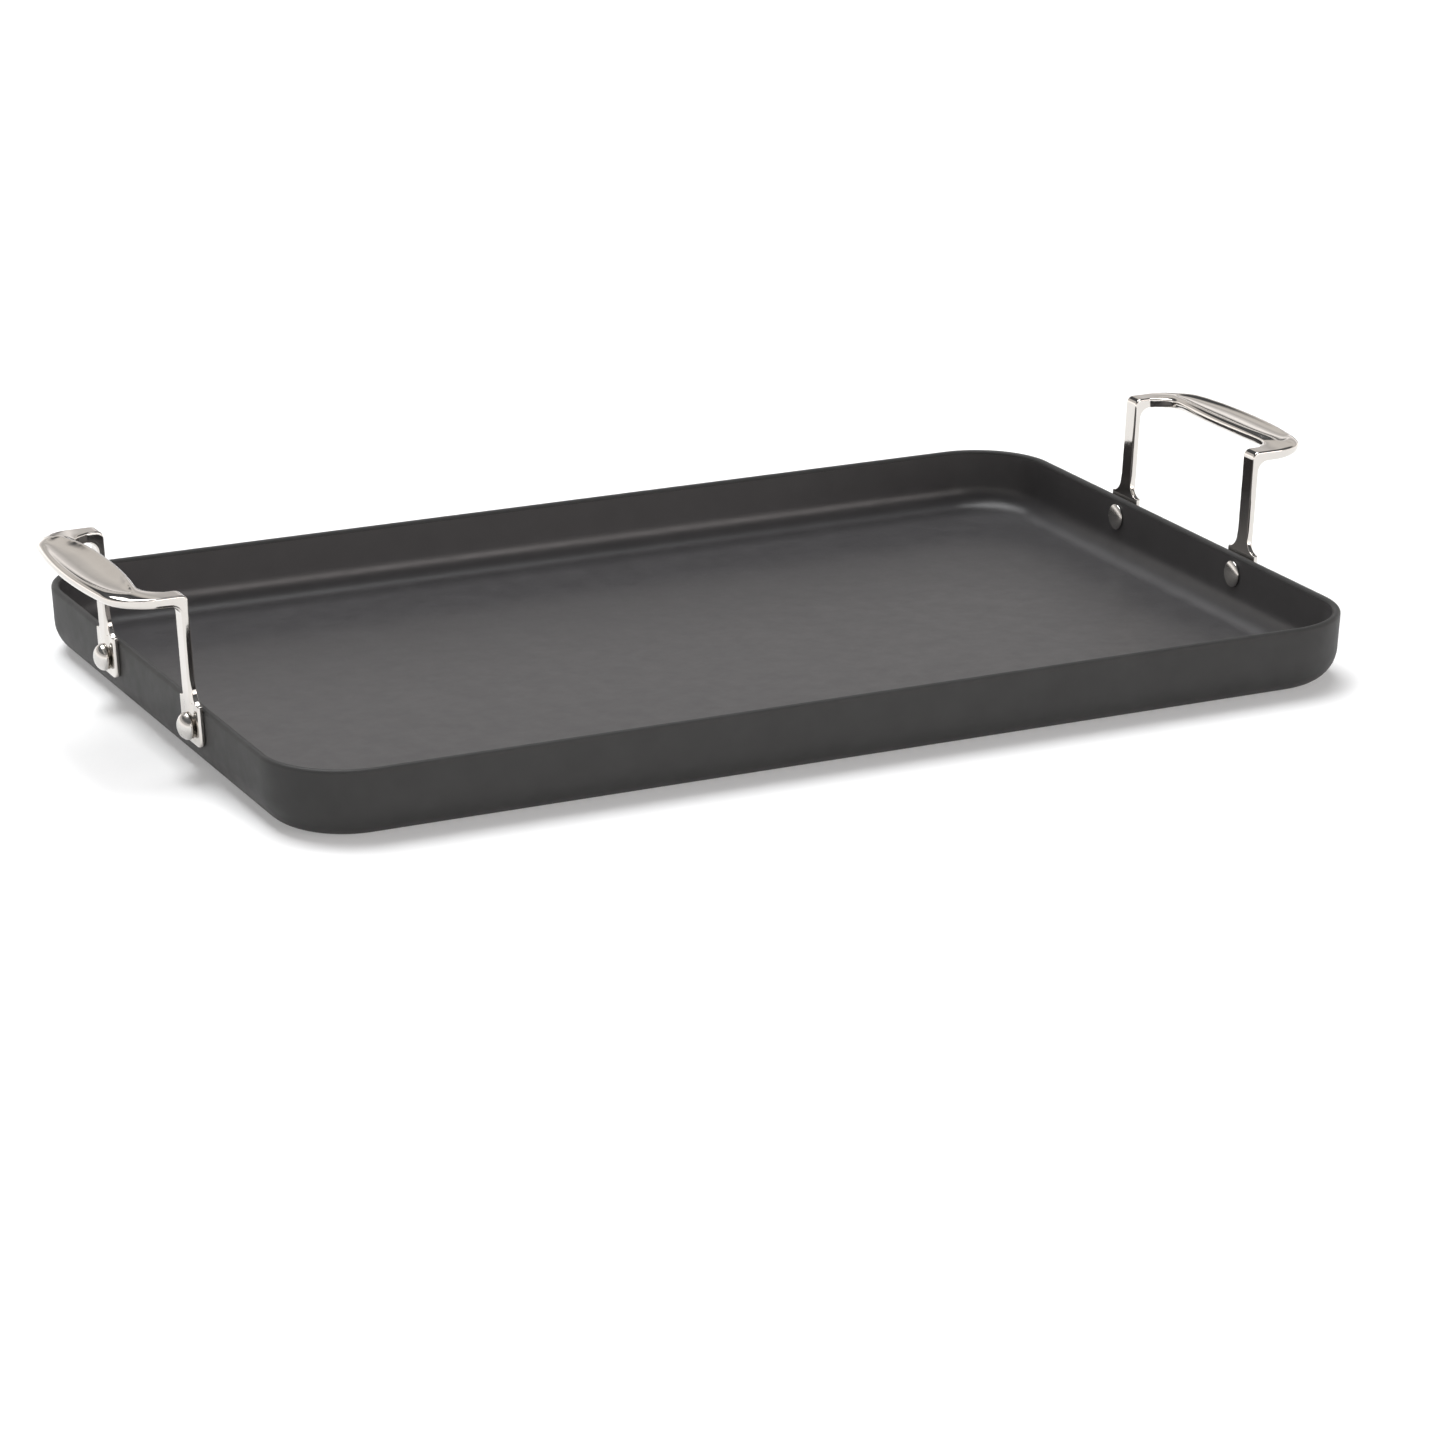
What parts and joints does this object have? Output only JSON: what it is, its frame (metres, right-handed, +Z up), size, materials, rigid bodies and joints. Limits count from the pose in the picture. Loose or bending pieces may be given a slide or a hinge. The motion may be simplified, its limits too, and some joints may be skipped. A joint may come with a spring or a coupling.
{
  "type": "two-burner griddle",
  "caption": "Long shallow hard-anodised griddle tray with a nonstick inside and a polished cast loop handle riveted to each short end.",
  "frame": {"origin": "middle of the flat underside of the tray, on the surface it stands on", "axes": "+X along the tray's length towards the right handle, +Y across it to the rear, +Z up"},
  "size_m": [0.585, 0.33, 0.0822],
  "materials": {
    "anodised_aluminium": "matt hard-anodised, dark grey",
    "nonstick": "satin nonstick coating, charcoal",
    "polished_steel": "cast stainless steel, mirror polished",
    "rivet_steel": "stainless steel, softly polished"
  },
  "bodies": {
    "root": {"griddle_pan": "anodised_aluminium", "nonstick_coating": "nonstick", "left_handle": "polished_steel", "right_handle": "polished_steel", "left_front_rivet": "rivet_steel", "left_rear_rivet": "rivet_steel", "right_front_rivet": "rivet_steel", "right_rear_rivet": "rivet_steel"}
  },
  "joints": []
}
